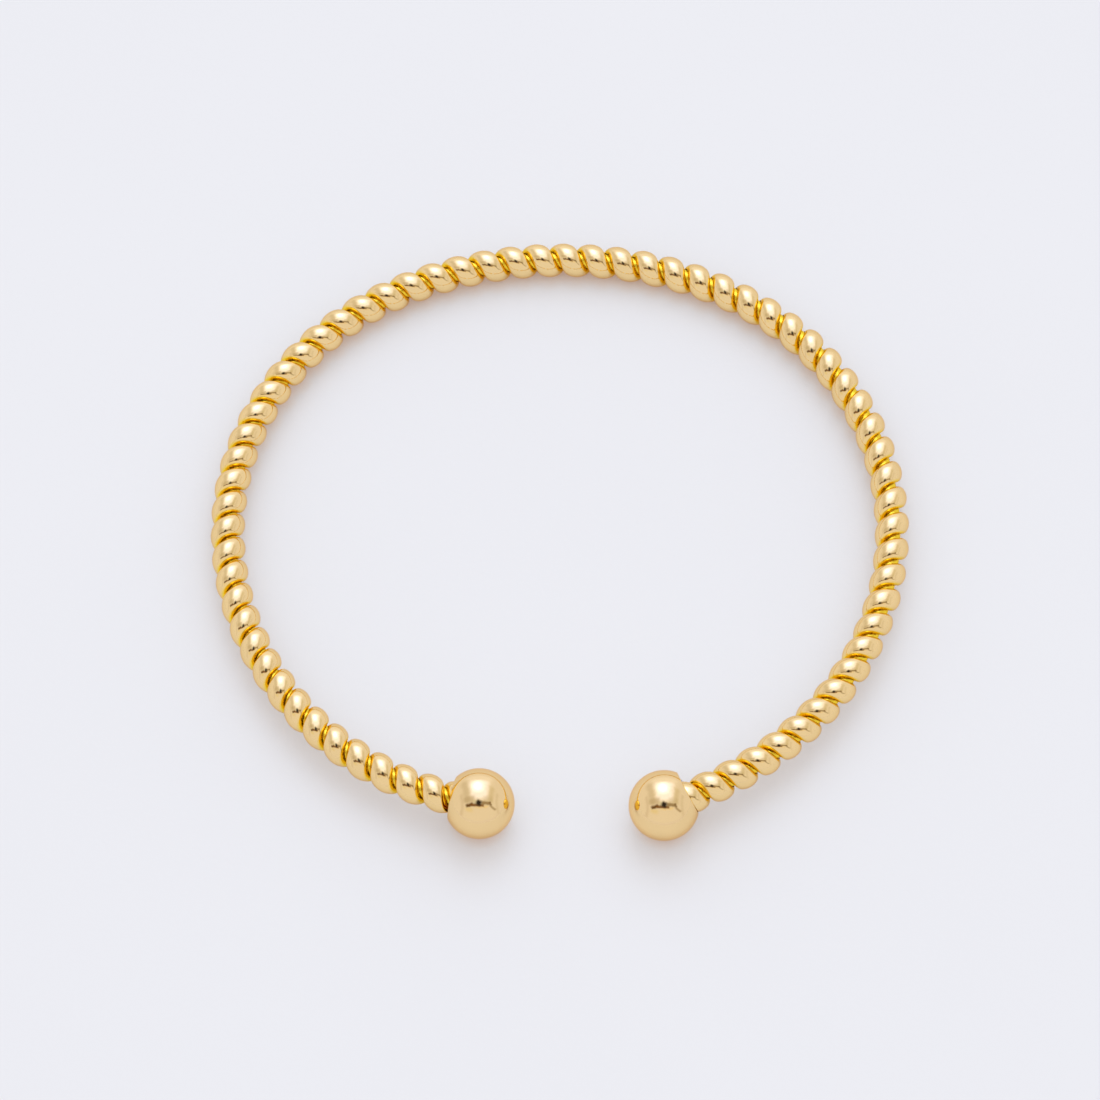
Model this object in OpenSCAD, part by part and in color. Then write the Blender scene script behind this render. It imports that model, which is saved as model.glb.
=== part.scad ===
// Open cuff bangle: one low-domed wire wound round a bent core wire, with a
// drilled ball on each end. Millimetres, +Z up, lying on its side on the floor
// z = 0 with the ball ends towards -Y. The origin is on the floor, under the
// middle of the bangle.

/* [Bangle] */
// Outside width across the rope, left to right
bangle_w = 60.7; // [52:0.1:72]
// Outside depth that the rope would have as a closed ring
bangle_d = 58.0; // [50:0.1:70]
// How far the ball side stands out, and the far side in, from an even oval
near_reach = 0.14; // [0:0.01:0.6]
// How much the four diagonals bulge past a plain oval
corner_bulge = 0.22; // [0:0.01:0.8]
// Distance between the centres of the two balls
ball_spacing = 15.56; // [12:0.02:24]
// How far the hand-bent right end stands out and the left end tucks in
end_skew = 0.36; // [0:0.02:0.6]

/* [Rope] */
// Outside diameter of the rope
rope_d = 3.0; // [2.9:0.02:3.1]
// Diameter of the core wire
core_d = 1.46; // [1.2:0.02:1.46]
// Inside diameter of the winding
winding_bore = 1.6; // [1.6:0.02:1.7]
// Length of rope that one turn takes
pitch = 2.399; // [2.39:0.001:2.8]
// Turn angle of the wire's crest at the left ball's centre; 180 faces inward
start_turn = 200; // [0:1:359]
// Turns that the winding runs ahead of an even pitch, in one half wave
drift_1 = 0.223; // [0:0.001:0.24]
// Turns that it runs ahead in two half waves along the rope
drift_2 = 0.123; // [0:0.001:0.13]
// Turns that it runs ahead in three half waves
drift_3 = -0.112; // [-0.12:0.001:0]
// Turns that it runs ahead in four half waves
drift_4 = 0.063; // [0:0.001:0.07]
// Turns that it runs ahead in five half waves
drift_5 = -0.063; // [-0.07:0.001:0]

/* [Wound wire] */
// Share of the pitch that the wire fills
wire_fill = 0.9; // [0.88:0.01:0.91]
// Radius of the low dome on the wire's outside
crest_r = 1.62; // [1.5:0.02:1.66]
// Tilt of the surface where the dome ends
crest_tilt = 26; // [22:1:27]
// Radius of the rounded shoulder beside the dome
shoulder_r = 0.65; // [0.55:0.01:0.68]
// Tilt of the surface where the shoulder ends
flank_tilt = 70; // [60:1:72]

/* [Balls] */
// Diameter of each ball
ball_d = 6.0; // [5.6:0.1:8]
// Diameter of the blind hole that takes the rope's end
hole_d = 3.2; // [3.2:0.1:3.4]
// Diameter of the flat round the left ball's hole
left_mouth_d = 3.8; // [3.4:0.1:4.4]
// Diameter of the flat on the right ball
right_mouth_d = 3.9; // [3.8:0.1:4.4]
// Angle that the right flat is turned sideways from the hole
right_mouth_turn = 3; // [-4:1:4]
// Angle that the right flat is lifted from the hole
right_mouth_lift = 14; // [0:1:14]
// Space left between a hole's floor and the rope's end
end_gap = 0.15; // [0.1:0.05:0.4]

/* [Smoothness] */
// Sections in each turn of the winding
turn_steps = 12; // [10:1:12]
// Points round the dome and shoulders of the wound wire
wire_points = 5; // [5:2:7]
// Sides of the core wire
core_sides = 10; // [8:1:10]
// Sections along the core wire
core_steps = 110; // [80:1:120]

/* [Hidden] */
gold = [0.90, 0.70, 0.34];

// The mid-line is a polar curve in the bangle's own plane. Its half sizes are
// taken at the middle of the rope.
half_w = (bangle_w - rope_d) / 2;
half_d = (bangle_d - rope_d) / 2;
mean_r = (half_w + half_d) / 2;
oval_r = (half_w - half_d) / 2;

// The hand bend fades in from this angle, counted from the far side, to its
// full size at the ball.
bend_from = 130;
bend_span = 34;
LEFT = -1;
RIGHT = 1;

function bend(a) =
    let (away = abs(a - 90), side = a < 90 ? RIGHT : LEFT)
    side * end_skew * pow(max(0, away - bend_from) / bend_span, 2);

function mid_radius(a) =
    mean_r + oval_r * cos(2 * a) + near_reach * sin(3 * a)
    + corner_bulge * (1 - cos(4 * a)) / 2 + bend(a);

function mid_point(a) = mid_radius(a) * [cos(a), sin(a), 0];

// Polar angle of a ball's centre, found from its sideways place by a few passes
// from a first guess
function ball_angle(side, guess, passes = 3) =
    let (lean = asin(ball_spacing / 2 / mid_radius(guess)))
    let (found = side == RIGHT ? lean - 90 : 270 - lean)
    passes == 0 ? guess : ball_angle(side, found, passes - 1);

left_a = ball_angle(LEFT, 255);
right_a = ball_angle(RIGHT, -75);

// Length along the mid-line from the left ball's centre, round the far side, to
// the right one's.
path_n = 360;
path_a = [for (i = [0:path_n]) left_a + (right_a - left_a) * i / path_n];
path_s = [
    for (i = 0, s = 0; i <= path_n;
         s = s + norm(mid_point(path_a[min(i + 1, path_n)]) - mid_point(path_a[i])), i = i + 1) s
];
path = [for (i = [0:path_n]) [path_s[i], path_a[i]]];
rope_len = path_s[path_n];

function angle_at(s) = lookup(s, path);
function point_at(s) = mid_point(angle_at(s));

function unit(v) = v / norm(v);
up = [0, 0, 1];

// Direction of travel at a polar angle
function along(a) =
    let (da = 0.5)
    unit(mid_point(a - da) - mid_point(a + da));

// Points beside the mid-line. Each row of shape is a point's place forward along
// the line, its distance from the line, and its turn angle round it, which
// starts outward and goes by way of up.
function section(s, shape) =
    let (a = angle_at(s), forward = along(a), outward = cross(up, forward))
    [
        for (row = shape)
        mid_point(a) + row[0] * forward
        + row[1] * (cos(row[2]) * outward + sin(row[2]) * up)
    ];

// Turn angle of the winding's crest. The pitch of the hand winding varies
// slowly, which the drifts follow.
drifts = [drift_1, drift_2, drift_3, drift_4, drift_5];

function crest_turn(s) =
    let (waves = [for (i = [0:len(drifts) - 1]) sin(180 * (i + 1) * s / rope_len)])
    start_turn + 360 * (s / pitch + drifts * waves);

// The bangle rests on its balls and on the rope at the far side, so its plane
// leans by the difference of their radii. The lean is worked out for the ball
// that is nearer to the far side.
ball_ys = [mid_point(left_a)[1], mid_point(right_a)[1]];
far_y = mid_radius(90);
lean = asin((ball_d - rope_d) / 2 / (far_y - max(ball_ys)));
front_y = min(ball_ys) * cos(lean) - ball_d / 2;
back_y = far_y * cos(lean) + rope_d / 2;
rest_y = -(front_y + back_y) / 2;
rest_z = rope_d / 2 + far_y * sin(lean);

module at_rest() {
    translate([0, rest_y, rest_z]) rotate([-lean, 0, 0]) children();
}

// A closed solid through equal closed sections, capped flat at both ends.
// Each section runs round its way of travel by the right-hand rule.
module skin(sections) {
    n = len(sections);
    k = len(sections[0]);
    points = [for (section = sections) each section];
    sides = [
        for (i = [0:n - 2], j = [0:k - 1])
        let (a = i * k + j, b = i * k + (j + 1) % k)
        each [[a, a + k, b], [b, a + k, b + k]]
    ];
    first_cap = [for (j = [0:k - 1]) j];
    last_cap = [for (j = [k - 1:-1:0]) (n - 1) * k + j];
    polyhedron(points, concat([first_cap, last_cap], sides));
}

core_start = end_gap;
core_end = rope_len - end_gap;

module core_wire() {
    round_shape = [for (j = [0:core_sides - 1]) [0, core_d / 2, 360 * j / core_sides]];
    color(gold) at_rest() skin([
        for (i = [0:core_steps])
        section(core_start + (core_end - core_start) * i / core_steps, round_shape)
    ]);
}

// The wound wire is flat on the core. Its outside is a low dome with a rounded
// shoulder and a straight flank on each side.
wire_half = pitch * wire_fill / 2;
wire_floor = winding_bore / 2;
wound_start = end_gap + wire_half;
wound_end = rope_len - end_gap - wire_half;
wound_steps = floor(turn_steps * (wound_end - wound_start) / pitch);

// Place on the outside where the surface has this tilt: sideways from the
// crest, and out from the rope's middle
function wire_place(tilt) =
    let (away = abs(tilt), dome = min(away, crest_tilt))
    let (sideways = crest_r * sin(dome) + shoulder_r * (sin(away) - sin(dome)))
    let (drop = crest_r * (1 - cos(dome)) + shoulder_r * (cos(dome) - cos(away)))
    [sign(tilt) * sideways, rope_d / 2 - drop];

module wound_wire() {
    outside = [
        for (j = [0:wire_points - 1])
        wire_place(flank_tilt * (1 - 2 * j / (wire_points - 1)))
    ];
    outline = concat([[wire_half, wire_floor]], outside, [[-wire_half, wire_floor]]);
    color(gold) at_rest() skin([
        for (i = [0:wound_steps])
        let (s = wound_start + (wound_end - wound_start) * i / wound_steps)
        section(s, [for (place = outline) [place[0], place[1], crest_turn(s)]])
    ]);
}

// A ball with a blind hole, drilled from the rope's side to the ball's centre,
// and a flat round the hole. The sphere is turned so that the seam of its
// surface faces away from the hole.
module ball(s, inside, mouth_d, mouth_turn, mouth_lift) {
    centre = point_at(s);
    ball_r = ball_d / 2;
    reach = point_at(s + inside * sqrt(pow(ball_r, 2) - pow(hole_d / 2, 2))) - centre;
    flat_at = sqrt(pow(ball_r, 2) - pow(mouth_d / 2, 2));
    color(gold) at_rest() translate(centre) rotate([0, 0, atan2(reach[1], reach[0])]) difference() {
        rotate([0, 0, 180]) sphere(d = ball_d, $fn = 96);
        rotate([0, 90, 0]) cylinder(d = hole_d, h = ball_d, $fn = 64);
        rotate([0, -mouth_lift, mouth_turn]) translate([flat_at, -ball_r, -ball_r]) cube(ball_d);
    }
}

module ball_left() {
    ball(0, 1, left_mouth_d, 0, 0);
}

module ball_right() {
    ball(rope_len, -1, right_mouth_d, right_mouth_turn, right_mouth_lift);
}

core_wire();
wound_wire();
ball_left();
ball_right();
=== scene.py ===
# Looks of an open cuff bangle: a low-domed gold wire wound round a bent core
# wire, with a drilled ball on each end, lying on a pale floor in a light tent.
import math
from collections import namedtuple

import bpy
import numpy as np
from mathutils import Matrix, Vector


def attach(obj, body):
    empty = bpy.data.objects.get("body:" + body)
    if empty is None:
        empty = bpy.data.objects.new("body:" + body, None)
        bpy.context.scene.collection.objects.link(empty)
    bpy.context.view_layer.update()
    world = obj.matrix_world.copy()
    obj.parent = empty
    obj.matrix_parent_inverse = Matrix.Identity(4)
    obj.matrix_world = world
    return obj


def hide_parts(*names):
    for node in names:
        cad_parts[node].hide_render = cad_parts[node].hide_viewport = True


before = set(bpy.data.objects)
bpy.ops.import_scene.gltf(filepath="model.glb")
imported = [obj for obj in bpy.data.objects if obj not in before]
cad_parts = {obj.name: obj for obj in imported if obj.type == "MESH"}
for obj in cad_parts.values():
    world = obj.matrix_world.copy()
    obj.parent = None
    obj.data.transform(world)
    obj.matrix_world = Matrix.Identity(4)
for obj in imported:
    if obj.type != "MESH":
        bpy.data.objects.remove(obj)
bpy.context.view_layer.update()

MM = 0.001
UP = np.array([0.0, 0.0, 1.0])
LEFT = -1
RIGHT = 1

# Driving dimensions of the bangle, in millimetres and degrees, the same as the
# part's.
BANGLE_W = 60.7
BANGLE_D = 58.0
NEAR_REACH = 0.14
CORNER_BULGE = 0.22
BALL_SPACING = 15.56
END_SKEW = 0.36
ROPE_D = 3.0
CORE_D = 1.46
WINDING_BORE = 1.6
PITCH = 2.399
WIRE_FILL = 0.9
START_TURN = 200.0
PITCH_WAVES = (0.223, 0.123, -0.112, 0.063, -0.063)
CREST_R = 1.62
CREST_TILT = 26.0
SHOULDER_R = 0.65
FLANK_TILT = 70.0
BALL_D = 6.0
HOLE_D = 3.2
LEFT_MOUTH_D = 3.8
RIGHT_MOUTH_D = 3.9
RIGHT_MOUTH_TURN = 3.0
RIGHT_MOUTH_LIFT = 14.0
END_GAP = 0.15
BEND_FROM = 130.0
BEND_SPAN = 34.0
# Polar angle of the far side, opposite the balls
FAR_SIDE = 90

# Steps along the mid-line, and half of the step, in degrees, that finds its
# direction
PATH_STEPS = 360
HALF_STEP = 0.5

# Smoothness of the visual meshes. Edges past the sharp angle stay sharp.
RINGS_PER_TURN = 36
CREST_STEPS = 7
SHOULDER_STEPS = 7
FLANK_STEPS = 2
CORE_SIDES = 24
CORE_RINGS = 420
BALL_SIDES = 144
BALL_STACKS = 72
LIP_R = 0.12
LIP_STEPS = 6
SHARP_ANGLE = 50

# The photograph's camera: where it aims, its direction in degrees, its distance
# and its lens.
PHOTO_PX = 1100
AIM_MM = (-0.91, -0.39, 0.0)
CAMERA_AZIMUTH = -2.04
CAMERA_ELEVATION = 63.0
CAMERA_DISTANCE_MM = 430.0
FOCAL_PX = 4930.0
SENSOR_MM = 36.0
CLIP_NEAR_M = 0.01
CLIP_FAR_M = 10.0

# The rope's mid-line is a polar curve in the bangle's own plane.
half_w = (BANGLE_W - ROPE_D) / 2
half_d = (BANGLE_D - ROPE_D) / 2
mean_r = (half_w + half_d) / 2
oval_r = (half_w - half_d) / 2


def mid_radius(a):
    """Polar radius of the rope's mid-line, in mm, at polar angles in degrees."""
    side = np.where(a < FAR_SIDE, RIGHT, LEFT)
    past = np.maximum(0, np.abs(a - FAR_SIDE) - BEND_FROM)
    bend = side * END_SKEW * (past / BEND_SPAN) ** 2
    r = np.radians(a)
    return (
        mean_r
        + oval_r * np.cos(2 * r)
        + NEAR_REACH * np.sin(3 * r)
        + CORNER_BULGE * (1 - np.cos(4 * r)) / 2
        + bend
    )


def mid_point(a):
    """Points of the mid-line in the bangle's own plane."""
    a = np.asarray(a, float)
    r = np.radians(a)
    return mid_radius(a)[..., None] * np.stack([np.cos(r), np.sin(r), 0 * r], -1)


def ball_angle(side, guess, passes=3):
    """Polar angle of a ball's centre, found from its sideways place by a few passes."""
    for _ in range(passes):
        away = np.degrees(np.arcsin(BALL_SPACING / 2 / mid_radius(np.float64(guess))))
        guess = away - 90 if side == RIGHT else 270 - away
    return float(guess)


left_a = ball_angle(LEFT, 255.0)
right_a = ball_angle(RIGHT, -75.0)

# Length along the mid-line from the left ball's centre, round the far side, to
# the right one's
path_a = np.linspace(left_a, right_a, PATH_STEPS + 1)
path_gaps = np.linalg.norm(np.diff(mid_point(path_a), axis=0), axis=1)
path_s = np.concatenate([[0], np.cumsum(path_gaps)])
rope_len = path_s[-1]

# The bangle rests on its balls and on the rope at the far side, so its plane
# leans.
left_ball, right_ball = mid_point(left_a), mid_point(right_a)
far_y = float(mid_radius(np.float64(FAR_SIDE)))
lean = math.asin((BALL_D - ROPE_D) / 2 / (far_y - max(left_ball[1], right_ball[1])))
front_y = min(left_ball[1], right_ball[1]) * math.cos(lean) - BALL_D / 2
back_y = far_y * math.cos(lean) + ROPE_D / 2
rest_y = -(front_y + back_y) / 2
rest_z = ROPE_D / 2 + far_y * math.sin(lean)


def at_rest(points):
    """Leans the bangle's plane onto its balls and the far side, and turns mm into metres."""
    c, s = math.cos(lean), math.sin(lean)
    x, y, z = points[..., 0], points[..., 1], points[..., 2]
    return np.stack([x, y * c + z * s + rest_y, z * c - y * s + rest_z], -1) * MM


def section(s, shape):
    """Rows of points beside the mid-line. shape holds forward, distance and turn angle in degrees."""
    a = np.interp(s, path_s, path_a)
    forward = mid_point(a - HALF_STEP) - mid_point(a + HALF_STEP)
    forward /= np.linalg.norm(forward, axis=-1, keepdims=True)
    outward = np.cross(UP, forward)
    ahead, distance, turn = (shape[..., column, None] for column in range(3))
    turn = np.radians(turn)
    return (
        mid_point(a)[:, None, :]
        + ahead * forward[:, None, :]
        + distance * (np.cos(turn) * outward[:, None, :] + np.sin(turn) * UP)
    )


def crest_turn(s):
    """Turn angle of the winding's crest at a length along the rope."""
    u = s / rope_len
    ahead = sum(wave * np.sin((i + 1) * np.pi * u) for i, wave in enumerate(PITCH_WAVES))
    return START_TURN + 360 * (s / PITCH + ahead)


def mesh_object(name, points, faces, grooves):
    """A smooth mesh piece with a groove depth at each point, riding on the bangle."""
    mesh = bpy.data.meshes.new(name)
    mesh.from_pydata([tuple(p) for p in points], [], faces)
    mesh.validate()
    mesh.shade_smooth()
    mesh.set_sharp_from_angle(angle=math.radians(SHARP_ANGLE))
    groove = mesh.attributes.new("groove", "FLOAT", "POINT")
    groove.data.foreach_set("value", np.asarray(grooves, np.float32))
    piece = bpy.data.objects.new(name, mesh)
    bpy.context.scene.collection.objects.link(piece)
    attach(piece, "root")
    return piece


def sweep_faces(rings, sides):
    """Side faces and two end caps for equal closed rings."""
    faces = []
    for i in range(rings - 1):
        for j in range(sides):
            a, b = i * sides + j, i * sides + (j + 1) % sides
            faces.append((a, a + sides, b + sides, b))
    faces.append(tuple(range(sides)))
    faces.append(tuple(range(rings * sides - 1, (rings - 1) * sides - 1, -1)))
    return faces


def crest_place(tilt):
    """Place on the wire's outline where its surface has a tilt: sideways, and from the rope's middle."""
    crest_end = math.radians(CREST_TILT)
    on_crest = math.radians(min(tilt, CREST_TILT))
    on_shoulder = math.radians(max(tilt, CREST_TILT))
    tight = SHOULDER_R * math.sin(on_shoulder) - SHOULDER_R * math.sin(crest_end)
    drop = SHOULDER_R * math.cos(crest_end) - SHOULDER_R * math.cos(on_shoulder)
    return (
        CREST_R * math.sin(on_crest) + tight,
        ROPE_D / 2 - CREST_R * (1 - math.cos(on_crest)) - drop,
    )


def wire_outline(wire_half, wire_floor):
    """The wire's outline: a low crest arc, and a tighter shoulder and a straight flank on each side."""
    half = [crest_place(CREST_TILT * i / CREST_STEPS) for i in range(CREST_STEPS)]
    for i in range(SHOULDER_STEPS + 1):
        half.append(crest_place(CREST_TILT + (FLANK_TILT - CREST_TILT) * i / SHOULDER_STEPS))
    x, z = half[-1]
    for i in range(1, FLANK_STEPS + 1):
        share = i / FLANK_STEPS
        half.append((x + (wire_half - x) * share, z + (wire_floor - z) * share))
    return half[:0:-1] + [(-x, z) for x, z in half]


def wound_wire():
    wire_half = PITCH * WIRE_FILL / 2
    wire_floor = WINDING_BORE / 2
    start = END_GAP + wire_half
    end = rope_len - END_GAP - wire_half
    rings = int((end - start) / PITCH * RINGS_PER_TURN)
    s = np.linspace(start, end, rings)
    outline = wire_outline(wire_half, wire_floor)
    sides = len(outline)
    shape = np.zeros((rings, sides, 3))
    shape[..., 0] = [x for x, z in outline]
    shape[..., 1] = [z for x, z in outline]
    shape[..., 2] = crest_turn(s)[:, None]
    points = at_rest(section(s, shape)).reshape(-1, 3)
    top = ROPE_D / 2
    grooves = np.tile([(top - z) / (top - wire_floor) for x, z in outline], rings)
    return mesh_object("winding", points, sweep_faces(rings, sides), grooves)


def core_wire():
    s = np.linspace(END_GAP, rope_len - END_GAP, CORE_RINGS)
    shape = np.zeros((CORE_RINGS, CORE_SIDES, 3))
    shape[..., 1] = CORE_D / 2
    shape[..., 2] = np.arange(CORE_SIDES) * 360 / CORE_SIDES
    points = at_rest(section(s, shape)).reshape(-1, 3)
    return mesh_object("core", points, sweep_faces(CORE_RINGS, CORE_SIDES), np.ones(len(points)))


def ball_profile(face):
    """Half section of a ball with a flat, as distance along the flat's axis and distance from it, in mm."""
    ball_r = BALL_D / 2
    # The lip is an arc tangent to the sphere and to the flat.
    lip_along = face - LIP_R
    lip_out = math.sqrt((ball_r - LIP_R) ** 2 - lip_along**2)
    lip_angle = math.atan2(lip_out, lip_along)
    profile = []
    for i in range(BALL_STACKS + 1):
        a = math.pi + (lip_angle - math.pi) * i / BALL_STACKS
        profile.append((ball_r * math.cos(a), ball_r * math.sin(a)))
    for i in range(1, LIP_STEPS + 1):
        a = lip_angle - lip_angle * i / LIP_STEPS
        profile.append((lip_along + LIP_R * math.cos(a), lip_out + LIP_R * math.sin(a)))
    return profile


def ball_faces(rings):
    """Faces from a ball's far pole, over its rings, to the middle of the hole's floor."""
    last_ring = 1 + (rings - 1) * BALL_SIDES
    last_point = 1 + rings * BALL_SIDES
    faces = []
    for j in range(BALL_SIDES):
        k = (j + 1) % BALL_SIDES
        faces.append((0, 1 + k, 1 + j))
        for i in range(rings - 1):
            a, b = 1 + i * BALL_SIDES, 1 + (i + 1) * BALL_SIDES
            faces.append((a + j, a + k, b + k, b + j))
        faces.append((last_ring + j, last_ring + k, last_point))
    return faces


def ball(name, s, inside, mouth_d, mouth_turn, mouth_lift):
    """A ball with a hole along the rope and a flat, turned sideways and lifted from the hole's way.

    inside is 1 where the rope starts at the ball, and -1 where it ends there.
    """
    centre = mid_point(np.interp(s, path_s, path_a))
    mouth = math.sqrt((BALL_D / 2) ** 2 - (HOLE_D / 2) ** 2)
    hole = mid_point(np.interp(s + inside * mouth, path_s, path_a)) - centre
    hole /= np.linalg.norm(hole)
    hole_side = np.cross(UP, hole)
    turn, lift = math.radians(mouth_turn), math.radians(mouth_lift)
    level = math.cos(turn) * hole + math.sin(turn) * hole_side
    axis = math.cos(lift) * level + math.sin(lift) * UP
    side = np.cross(UP, axis)
    side /= np.linalg.norm(side)
    top = np.cross(axis, side)
    face = math.sqrt((BALL_D / 2) ** 2 - (mouth_d / 2) ** 2)
    profile = ball_profile(face)
    turns = [2 * math.pi * j / BALL_SIDES for j in range(BALL_SIDES)]
    points = [centre + profile[0][0] * axis]
    for along, out in profile[1:]:
        points += [centre + along * axis + out * (math.cos(t) * side + math.sin(t) * top) for t in turns]
    # The hole runs from its rim on the flat to its floor at the ball's centre.
    rims = [HOLE_D / 2 * (math.cos(t) * hole_side + math.sin(t) * UP) for t in turns]
    points += [centre + rim + (face - rim @ axis) / (hole @ axis) * hole for rim in rims]
    points += [centre + rim for rim in rims]
    points.append(centre)
    return mesh_object(name, at_rest(np.array(points)), ball_faces(len(profile) + 1), np.zeros(len(points)))


# Where Blender's Mix node has its two colours and the mixed one
MIX_A = 6
MIX_B = 7
MIX_RESULT = 2


class Graph:
    """Short calls for building a node tree."""

    def __init__(self, tree):
        self.tree = tree
        tree.nodes.clear()

    def node(self, kind, inputs=(), **settings):
        made = self.tree.nodes.new(kind)
        for key, value in settings.items():
            setattr(made, key, value)
        for socket, value in dict(inputs).items():
            self.put(value, made.inputs[socket])
        return made

    def put(self, value, socket):
        if isinstance(value, bpy.types.NodeSocket):
            self.tree.links.new(value, socket)
        else:
            socket.default_value = value

    def math(self, operation, a, b=0.0, c=0.0):
        made = self.node("ShaderNodeMath", operation=operation)
        for socket, value in zip(made.inputs, (a, b, c)):
            self.put(value, socket)
        return made.outputs[0]

    def ramp(self, value, low, high, to_low=0.0, to_high=1.0):
        """A value that goes softly from one level to another as another value goes from low to high."""
        made = self.node("ShaderNodeMapRange", interpolation_type="SMOOTHSTEP")
        for socket, v in zip(made.inputs, (value, low, high, to_low, to_high)):
            self.put(v, socket)
        return made.outputs[0]

    def mix(self, factor, a, b, blend="MIX"):
        made = self.node("ShaderNodeMix", data_type="RGBA", blend_type=blend)
        for socket, value in (("Factor", factor), (MIX_A, a), (MIX_B, b)):
            self.put(value, made.inputs[socket])
        return made.outputs[MIX_RESULT]

    def noise(self, vector, scale, detail=2.0):
        made = self.node("ShaderNodeTexNoise", {"Vector": vector, "Scale": scale, "Detail": detail})
        return made.outputs["Fac"]

    def bump(self, height, depth, normal=None):
        """A surface normal that follows a pattern of this depth, over another normal if one is given."""
        made = self.node("ShaderNodeBump", {"Height": height, "Distance": depth, "Strength": 1.0})
        if normal is not None:
            self.put(normal, made.inputs["Normal"])
        return made.outputs[0]


def new_material(name):
    """A material, and the graph to fill."""
    material = bpy.data.materials.new(name)
    material.use_nodes = True
    return material, Graph(material.node_tree)


WHITE = (1.0, 1.0, 1.0, 1.0)
# The gold of the balls and of the winding, and the painted deep gold: painted shade in the grooves and on
# the core, where light passes from gold to gold
GOLD = (0.93, 0.676, 0.33, 1.0)
GOLD_WIRE = (0.945, 0.69, 0.322, 1.0)
PAINTED_DEEP_GOLD = (0.97, 0.68, 0.045, 1.0)
# What is left of the reflection at a low angle
GOLD_EDGE = (0.92, 0.74, 0.55, 1.0)
# The share of painted deep gold in gold that is seen in gold, a painted reflection, and
# of white in the gold as it lights the card, a painted bounce light
SEEN_IN_GOLD = 0.8
PALE_BOUNCE = 0.4
COAT_WEIGHT = 0.1
COAT_ROUGHNESS = 0.05
COAT_IOR = 1.5

# Where a groove's effects begin and are full. The groove's depth goes from 0 on
# the wire's crest to 1 on its inside.
# The painted groove shade, and the coat thinning away, follow the first range.
GROOVE_SHADE_AND_COAT = (0.3, 0.72)
GROOVE_DULL = (0.4, 0.9)
GROOVE_CRINKLE = (0.45, 0.8)

# The patterns in the gold: their scales, per metre, the stretches of noise that
# show, and what they do
CLOUD_SCALE = 260.0
CLOUD_TONE_RANGE = (0.3, 0.7)
CLOUD_DULL_RANGE = (0.4, 0.8)
CLOUD_TONE = 0.965
CLOUD_DULLNESS = 0.02
WAVE_SCALE = 900.0
SCRATCH_SCALE = 900.0
SCRATCH_DETAIL = 3.0
SCRATCH_TURN = (0.3, 0.5, 0.8)
SCRATCH_STRETCH = (1.0, 14.0, 3.0)
SCRATCH_RANGE = (0.45, 0.8)
SCRATCH_DULLER = 1.8
SCRATCH_MM = 0.0004
CRINKLE_SCALE = 4000.0
CRINKLE_MM = 0.05
GROOVE_DULLNESS = 0.16


def gold(name, tone, wave_mm, rough):
    """Polished gold plate: tone on the crests, painted shade of deep gold in the grooves, with fine waves
    and hairlines.
    """
    material, g = new_material(name)
    place = g.node("ShaderNodeTexCoord").outputs["Object"]
    groove = g.node("ShaderNodeAttribute", attribute_name="groove").outputs["Fac"]
    clouds = g.noise(place, CLOUD_SCALE)
    clouded = [c * CLOUD_TONE for c in tone[:3]] + [1.0]
    colour = g.mix(g.ramp(clouds, *CLOUD_TONE_RANGE), tone, clouded)
    # Painted shade: deep gold in the grooves stands in for light passing from gold to gold.
    colour = g.mix(g.ramp(groove, *GROOVE_SHADE_AND_COAT), colour, PAINTED_DEEP_GOLD)
    # Painted reflection and bounce: gold that is seen in gold gets the deep gold, and
    # the gold is made paler as it lights the card.
    path = g.node("ShaderNodeLightPath").outputs
    colour = g.mix(g.math("MULTIPLY", path["Is Glossy Ray"], SEEN_IN_GOLD), colour, PAINTED_DEEP_GOLD)
    colour = g.mix(g.math("MULTIPLY", path["Is Diffuse Ray"], PALE_BOUNCE), colour, WHITE)
    hair = g.node(
        "ShaderNodeMapping",
        {"Vector": place, "Rotation": SCRATCH_TURN, "Scale": SCRATCH_STRETCH},
    ).outputs[0]
    scratches = g.noise(hair, SCRATCH_SCALE, SCRATCH_DETAIL)
    roughness = g.ramp(scratches, *SCRATCH_RANGE, rough, rough * SCRATCH_DULLER)
    roughness = g.math("ADD", roughness, g.ramp(clouds, *CLOUD_DULL_RANGE, 0.0, CLOUD_DULLNESS))
    roughness = g.math("ADD", roughness, g.ramp(groove, *GROOVE_DULL, 0.0, GROOVE_DULLNESS))
    waves = g.bump(g.noise(place, WAVE_SCALE), wave_mm * MM)
    lines = g.bump(scratches, SCRATCH_MM * MM, waves)
    # The plate is crinkled in the grooves, where no polishing wheel reaches.
    crinkle_depth = g.ramp(groove, *GROOVE_CRINKLE, 0.0, CRINKLE_MM * MM)
    crinkles = g.bump(g.noise(place, CRINKLE_SCALE), crinkle_depth, lines)
    shader = g.node(
        "ShaderNodeBsdfPrincipled",
        {
            "Base Color": colour,
            "Metallic": 1.0,
            "Specular Tint": GOLD_EDGE,
            "Roughness": roughness,
            "Normal": crinkles,
            "Coat Weight": g.ramp(groove, *GROOVE_SHADE_AND_COAT, COAT_WEIGHT, 0.0),
            "Coat Roughness": COAT_ROUGHNESS,
            "Coat IOR": COAT_IOR,
        },
    )
    g.node("ShaderNodeOutputMaterial", {"Surface": shader.outputs[0]})
    return material


FLOOR_HALF_M = 1.5
# The floor lies a hair below the bangle, so that the two never share a face.
FLOOR_DROP_M = 0.00002
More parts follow.
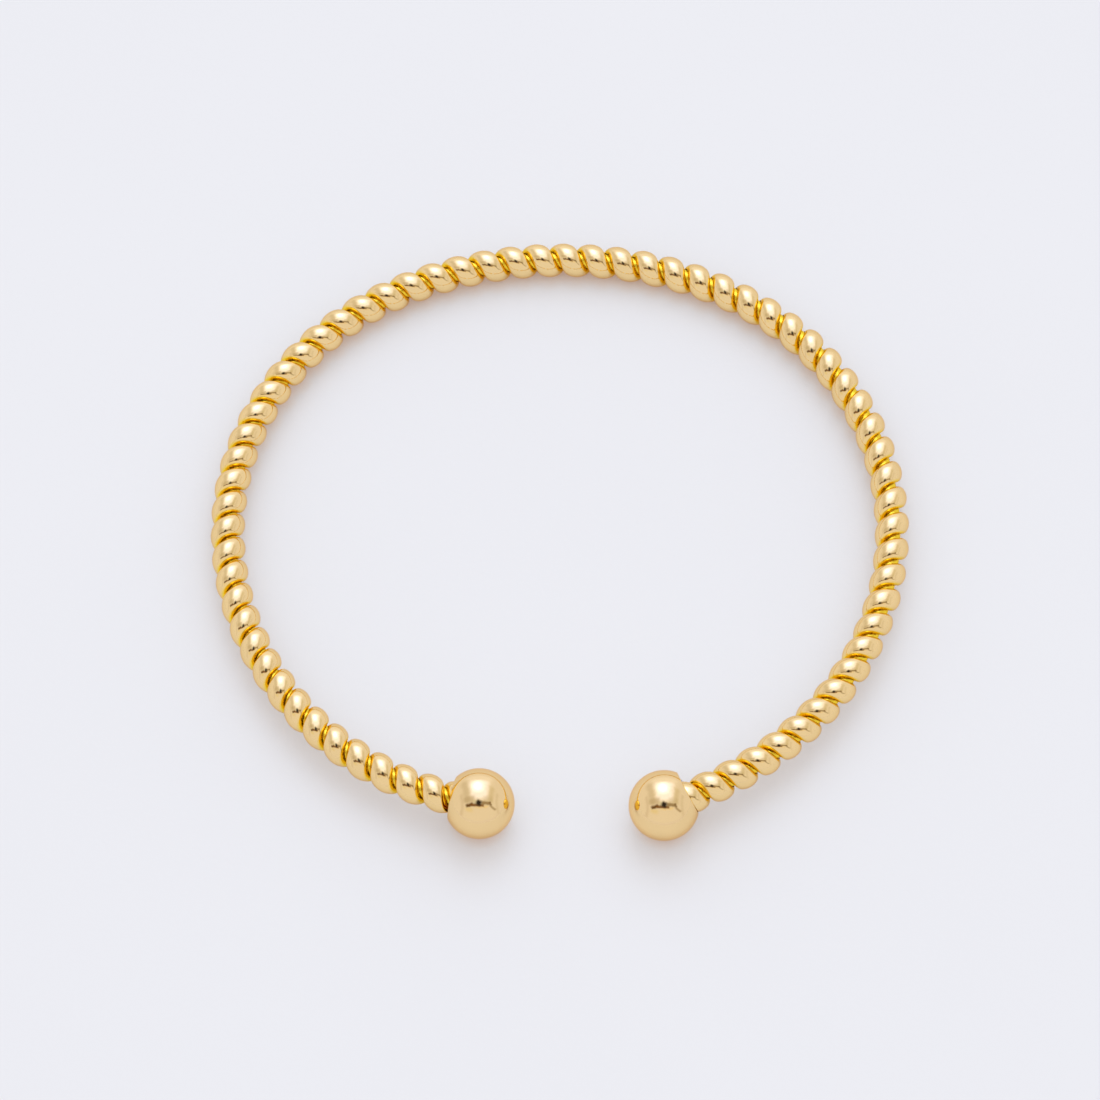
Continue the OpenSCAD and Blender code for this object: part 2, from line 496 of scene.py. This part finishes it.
# The card: the two ends of its mottled tone, its faint painted glow that lifts its shadows, and its surface
CARD_DULL = (0.610, 0.600, 0.569, 1.0)
CARD_BRIGHT = (0.628, 0.618, 0.585, 1.0)
CARD_PAINTED_GLOW = (1.0, 0.88, 0.92, 1.0)
PAINTED_GLOW_STRENGTH = 0.165
CARD_ROUGHNESS = 0.75
CARD_SHINE = 0.2
CARD_DETAIL = 4.0
MOTTLE_SCALE = 25.0
FIBRE_SCALE = 2500.0
FIBRE_MM = 0.01
# Painted warm tint: close to the gold the card's colour and glow are tinted warm, as by
# the gold's light and its shade, over this distance. The range is how open the place is where the warmth
# ends.
WARM_REACH_MM = 1.2
WARM_LIGHT = (1.0, 0.85, 0.73, 1.0)
WARM_RANGE = (0.3, 0.9)
NEARNESS_SAMPLES = 3


def card():
    """The pale floor: a matt white sheet with a faint painted glow that lifts its shadows, and a painted
    warm tint close to the gold.
    """
    material, g = new_material("pale_floor")
    place = g.node("ShaderNodeTexCoord").outputs["Object"]
    openness = g.node(
        "ShaderNodeAmbientOcclusion", {"Distance": WARM_REACH_MM * MM}, samples=NEARNESS_SAMPLES
    ).outputs["AO"]
    # Painted warm shade and light: the card turns warmer and darker close to the gold.
    painted_warm_tint = g.mix(g.ramp(openness, *WARM_RANGE, 1.0, 0.0), WHITE, WARM_LIGHT)
    mottled = g.mix(g.noise(place, MOTTLE_SCALE, CARD_DETAIL), CARD_DULL, CARD_BRIGHT)
    shader = g.node(
        "ShaderNodeBsdfPrincipled",
        {
            "Base Color": g.mix(1.0, mottled, painted_warm_tint, "MULTIPLY"),
            "Roughness": CARD_ROUGHNESS,
            "Specular IOR Level": CARD_SHINE,
            "Normal": g.bump(g.noise(place, FIBRE_SCALE, CARD_DETAIL), FIBRE_MM * MM),
            # Painted fill light: the card's faint glow lifts its shadows.
            "Emission Color": g.mix(1.0, CARD_PAINTED_GLOW, painted_warm_tint, "MULTIPLY"),
            "Emission Strength": PAINTED_GLOW_STRENGTH,
        },
    )
    g.node("ShaderNodeOutputMaterial", {"Surface": shader.outputs[0]})
    return material


def floor():
    mesh = bpy.data.meshes.new("floor")
    corners = [(x * FLOOR_HALF_M, y * FLOOR_HALF_M, 0) for x, y in ((-1, -1), (1, -1), (1, 1), (-1, 1))]
    mesh.from_pydata(corners, [], [(0, 1, 2, 3)])
    plane = bpy.data.objects.new("floor", mesh)
    bpy.context.scene.collection.objects.link(plane)
    plane.location.z = -FLOOR_DROP_M
    plane.data.materials.append(card())


# The light tent, by direction. Across is the angle to the right of the middle
# plane and over is the angle from the back horizon (0), by the zenith (90), to
# the front horizon (180), in degrees. Each patch has its middle across and over,
# its half size each way, its turn, the width of its soft edge, its strength and
# its light.
Patch = namedtuple("Patch", "across over half_across half_over turn edge strength light")

TENT = (0.87, 0.87, 0.94)
# The softbox: its glow, its face and its hot middle
SOFTBOX = [
    Patch(2, 56, 29, 47, 0, 20, 0.9, (1.01, 1.04, 1.20)),
    Patch(1, 64, 25, 33, 0, 16, 1.0, (1.20, 1.32, 1.88)),
    Patch(-3, 54, 10, 13, 0, 30, 1.0, (2.7, 3.0, 4.6)),
]
# The softbox as the floor sees it: a broader and whiter light
KEY_LIGHT = [
    Patch(4, 60, 40, 50, 0, 22, 0.95, (1.12, 1.20, 1.33)),
    Patch(3, 56, 14, 18, 0, 30, 1.0, (2.5, 2.85, 3.5)),
]
WALLS = [
    # The darker side panels and the seams at the corners of the tent
    Patch(-38, 63, 10, 48, 6, 14, 0.75, (0.70, 0.68, 0.68)),
    Patch(36, 80, 9, 34, 0, 18, 0.7, (0.70, 0.66, 0.56)),
    Patch(-57, 125, 4, 65, 0, 12, 0.45, (0.60, 0.54, 0.52)),
    Patch(58, 125, 3, 65, 0, 12, 0.45, (0.62, 0.57, 0.52)),
    # The warm front wall under the camera's gap
    Patch(-34, 134, 12, 8, 0, 16, 0.7, (0.86, 0.80, 0.56)),
    Patch(8, 125, 22, 3, 0, 9, 0.7, (0.96, 0.82, 0.52)),
    # The card's far edge and the tent's foot
    Patch(0, 182, 95, 8, 0, 12, 0.6, (0.80, 0.80, 0.96)),
]
GAP = [
    # Dim cloth round the gap for the camera
    Patch(-31, 97, 17, 11, 0, 14, 0.7, (0.58, 0.54, 0.48)),
    Patch(29, 97, 14, 9, 0, 14, 0.45, (0.60, 0.57, 0.48)),
    # The gap's dark streak, bent down at its right end
    Patch(-32, 118, 13, 6, -19, 9, 1.0, (0.17, 0.105, 0.05)),
    Patch(-6, 119, 21, 4.5, 3, 7, 0.95, (0.24, 0.12, 0.04)),
    Patch(22, 113, 15, 6, 5, 9, 0.9, (0.32, 0.25, 0.15)),
    Patch(36, 115, 3.5, 7, -20, 5, 0.85, (0.24, 0.18, 0.11)),
    Patch(44, 134, 3.5, 16, -35, 7, 0.8, (0.38, 0.31, 0.21)),
    # A pale spot beside the lens, and the lens
    Patch(-13, 107, 5, 5, 0, 6, 0.8, (0.78, 0.84, 0.84)),
    Patch(-2, 111, 8.5, 9, 28, 11, 1.0, (0.03, 0.025, 0.025)),
]
# A slow noise bends the edges of the patches, as cloth and card would.
WARP_SCALE = 6.0
WARP_DEGREES = 7.0
TENT_MAP_SIZE = 512


def within(g, place, half, edge):
    """1 at a place inside the half size, falling to 0 across the soft edge."""
    return g.ramp(g.math("ABSOLUTE", place), half - edge / 2, half + edge / 2, 1.0, 0.0)


def patched(g, across, over, patches):
    """The tent's light at a direction, with soft-edged patches laid over one another."""
    colour = TENT + (1.0,)
    for patch in patches:
        x = g.math("ADD", across, -patch.across)
        y = g.math("ADD", over, -patch.over)
        if patch.turn:
            c, s = math.cos(math.radians(patch.turn)), math.sin(math.radians(patch.turn))
            turned_x = g.math("MULTIPLY_ADD", y, s, g.math("MULTIPLY", x, c))
            turned_y = g.math("MULTIPLY_ADD", x, -s, g.math("MULTIPLY", y, c))
            x, y = turned_x, turned_y
        mask = g.math("MULTIPLY", within(g, x, patch.half_across, patch.edge), patch.strength)
        mask = g.math("MULTIPLY", within(g, y, patch.half_over, patch.edge), mask)
        colour = g.mix(mask, colour, patch.light + (1.0,))
    return colour


def light_tent():
    world = bpy.data.worlds.new("light_tent")
    world.use_nodes = True
    world.cycles.sampling_method = "MANUAL"
    world.cycles.sample_map_resolution = TENT_MAP_SIZE
    bpy.context.scene.world = world
    g = Graph(world.node_tree)
    direction = g.node("ShaderNodeTexCoord").outputs["Generated"]
    x, y, z = g.node("ShaderNodeSeparateXYZ", {"Vector": direction}).outputs
    across = g.math("DEGREES", g.math("ARCSINE", x))
    over = g.math("DEGREES", g.math("ARCTAN2", z, y))
    # Only mirror rays see the tent's detail. The broad light is whiter, and the
    # floor under it renders much faster.
    broad = g.node("ShaderNodeBackground", {"Color": patched(g, across, over, KEY_LIGHT)})
    warp = g.math("MULTIPLY_ADD", g.noise(direction, WARP_SCALE), WARP_DEGREES, -WARP_DEGREES / 2)
    across, over = g.math("ADD", across, warp), g.math("ADD", over, warp)
    mirrored = g.node("ShaderNodeBackground", {"Color": patched(g, across, over, WALLS + SOFTBOX + GAP)})
    in_metal = g.node("ShaderNodeLightPath").outputs["Is Glossy Ray"]
    both = g.node("ShaderNodeMixShader", {0: in_metal, 1: broad.outputs[0], 2: mirrored.outputs[0]})
    g.node("ShaderNodeOutputWorld", {"Surface": both.outputs[0]})


def photo_camera():
    data = bpy.data.cameras.new("camera")
    data.sensor_width = SENSOR_MM
    data.lens = FOCAL_PX / PHOTO_PX * SENSOR_MM
    data.clip_start, data.clip_end = CLIP_NEAR_M, CLIP_FAR_M
    camera = bpy.data.objects.new("camera", data)
    bpy.context.scene.collection.objects.link(camera)
    a, e = math.radians(CAMERA_AZIMUTH), math.radians(CAMERA_ELEVATION)
    back = Vector((math.sin(a) * math.cos(e), -math.cos(a) * math.cos(e), math.sin(e)))
    camera.location = (Vector(AIM_MM) + back * CAMERA_DISTANCE_MM) * MM
    camera.rotation_mode = "QUATERNION"
    camera.rotation_quaternion = (-back).to_track_quat("-Z", "Y")
    bpy.context.scene.camera = camera


photo_camera()
floor()
light_tent()

ball_gold = gold("gold_ball", GOLD, wave_mm=0.0006, rough=0.05)
rope_gold = gold("gold_rope", GOLD_WIRE, wave_mm=0.013, rough=0.06)
# The core shows only in the grooves and is painted the deep gold all over, as painted shade.
core_gold = gold("gold_core", PAINTED_DEEP_GOLD, wave_mm=0.0012, rough=0.12)

winding = wound_wire()
winding.data.materials.append(rope_gold)
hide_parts("wound_wire")

core = core_wire()
core.data.materials.append(core_gold)
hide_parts("core_wire")

left = ball("left_ball", 0.0, 1, LEFT_MOUTH_D, 0.0, 0.0)
left.data.materials.append(ball_gold)
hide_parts("ball_left")

right = ball("right_ball", rope_len, -1, RIGHT_MOUTH_D, RIGHT_MOUTH_TURN, RIGHT_MOUTH_LIFT)
right.data.materials.append(ball_gold)
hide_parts("ball_right")

# The replaced CAD nodes stay hidden, and take the rope's gold all the same.
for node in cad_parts.values():
    node.data.materials.clear()
    node.data.materials.append(rope_gold)

# Light passes from wire to wire many times in the grooves.
GLOSSY_BOUNCES = 10

scene = bpy.context.scene
scene.cycles.glossy_bounces = GLOSSY_BOUNCES
scene.view_settings.view_transform = "Standard"
scene.view_settings.look = "None"
scene.view_settings.exposure = 0.0
